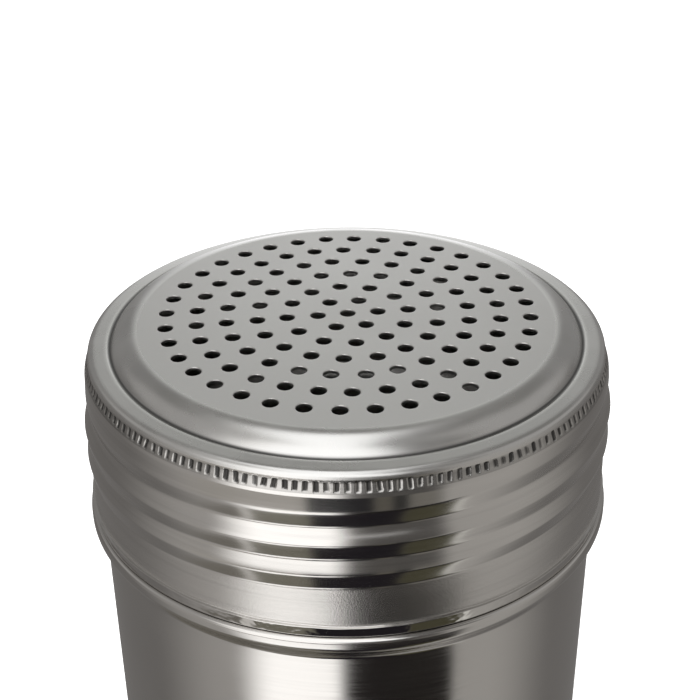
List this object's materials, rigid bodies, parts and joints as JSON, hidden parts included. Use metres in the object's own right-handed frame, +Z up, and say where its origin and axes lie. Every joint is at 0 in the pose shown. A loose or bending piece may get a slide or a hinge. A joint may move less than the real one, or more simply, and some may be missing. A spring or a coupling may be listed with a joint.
{
  "type": "spice shaker",
  "caption": "Steel kitchen shaker: a drawn canister with a threaded neck and a screw-on lid whose flat top is perforated with round shaker holes.",
  "frame": {"origin": "centre of the foot ring, in the plane that the shaker stands on", "axes": "+Z up along the shaker's axis, through the perforated top; -Y is the side that faces the picture's camera"},
  "size_m": [0.0706, 0.0706, 0.095],
  "materials": {
    "canister_steel": "satin, brushed round the wall",
    "lid_steel": "satin top, half-gloss rolled skirt and burnished hem"
  },
  "bodies": {
    "canister": {"canister": "canister_steel"},
    "lid": {"lid": "lid_steel"}
  },
  "joints": [
    {"name": "lid_lift", "type": "slide", "parent": "canister", "child": "lid", "axis": [0, 0, 1], "range_m": [0, 0.06]}
  ]
}
